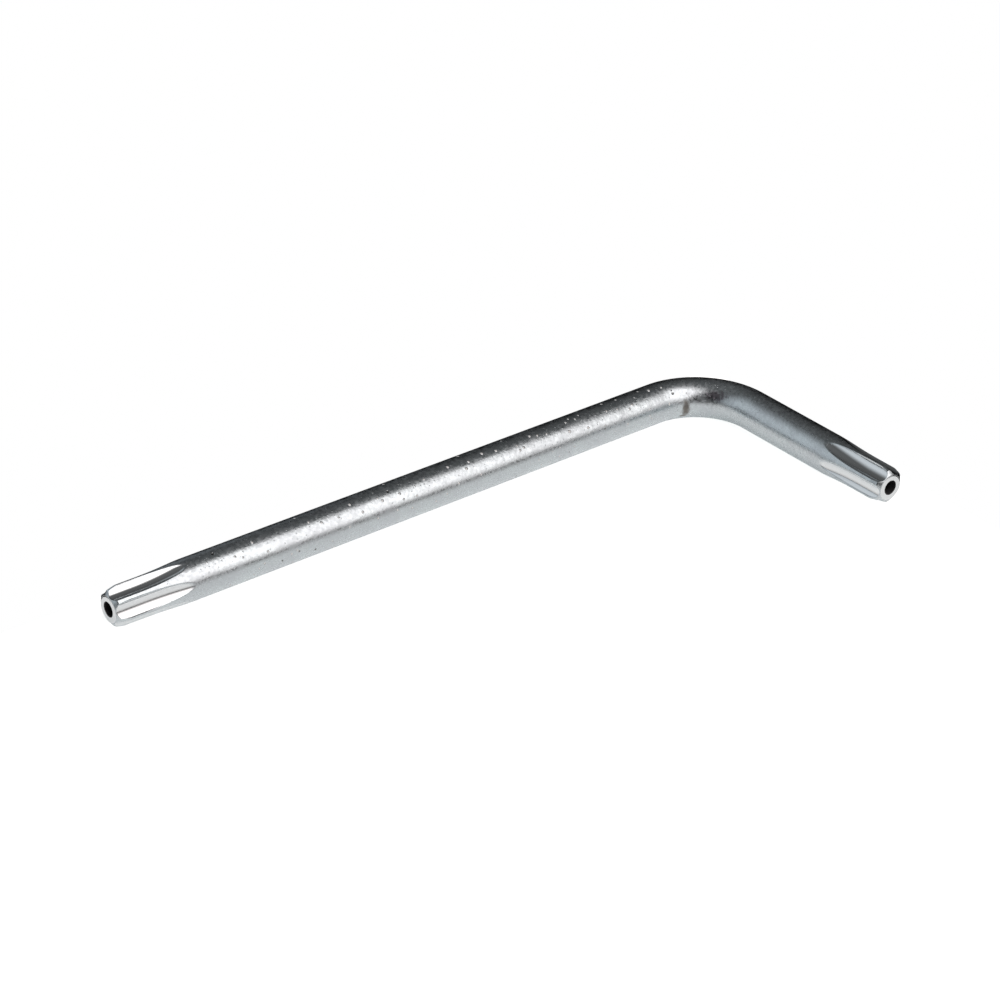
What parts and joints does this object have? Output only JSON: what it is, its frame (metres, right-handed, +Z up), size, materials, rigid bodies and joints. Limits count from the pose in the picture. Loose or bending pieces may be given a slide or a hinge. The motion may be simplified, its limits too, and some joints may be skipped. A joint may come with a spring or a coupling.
{
  "type": "star key",
  "caption": "Bent round steel key with a drilled six-lobe star on both ends, for turning tamper-resistant star screws with either arm",
  "frame": {"origin": "middle of the key's bounding box, on the plane that the key lies on", "axes": "+X along the long arm toward the bend, +Y along the short arm toward the bend, +Z up from the plane that the key lies on"},
  "size_m": [0.0716, 0.028, 0.004],
  "materials": {
    "satin_plate": "satin nickel or chrome plating over hardened steel, fine grain, small pits and scuffs",
    "bright_plate": "brighter plating over the formed star, smooth flutes with crisp edges"
  },
  "bodies": {
    "root": {"long_star_tip": "bright_plate", "long_arm": "satin_plate", "bend": "satin_plate", "short_arm": "satin_plate", "short_star_tip": "bright_plate"}
  },
  "joints": []
}
